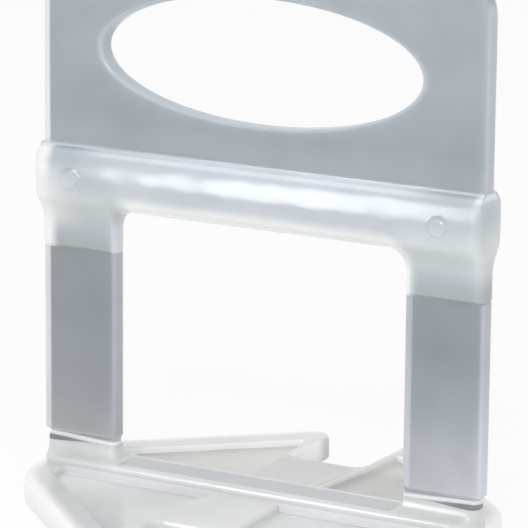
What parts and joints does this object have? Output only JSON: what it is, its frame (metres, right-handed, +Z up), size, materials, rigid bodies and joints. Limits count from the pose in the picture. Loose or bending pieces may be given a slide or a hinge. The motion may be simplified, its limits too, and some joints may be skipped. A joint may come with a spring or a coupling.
{
  "type": "tile levelling clip",
  "caption": "Snap-off tile levelling clip in natural plastic: finger plate with an oval hole, round bar over a wedge window, thin legs with break lines, and a ribbed, notched foot plate.",
  "frame": {"origin": "middle of the underside of the foot plate, under the middle of the legs", "axes": "+Z up from the underside to the finger plate, +X along the tile joint, +Y across the joint"},
  "size_m": [0.036, 0.0334, 0.041],
  "materials": {
    "natural_plastic": "milky translucent natural polypropylene, moulded, softly glossy"
  },
  "bodies": {
    "root": {"levelling_clip": "natural_plastic"}
  },
  "joints": []
}
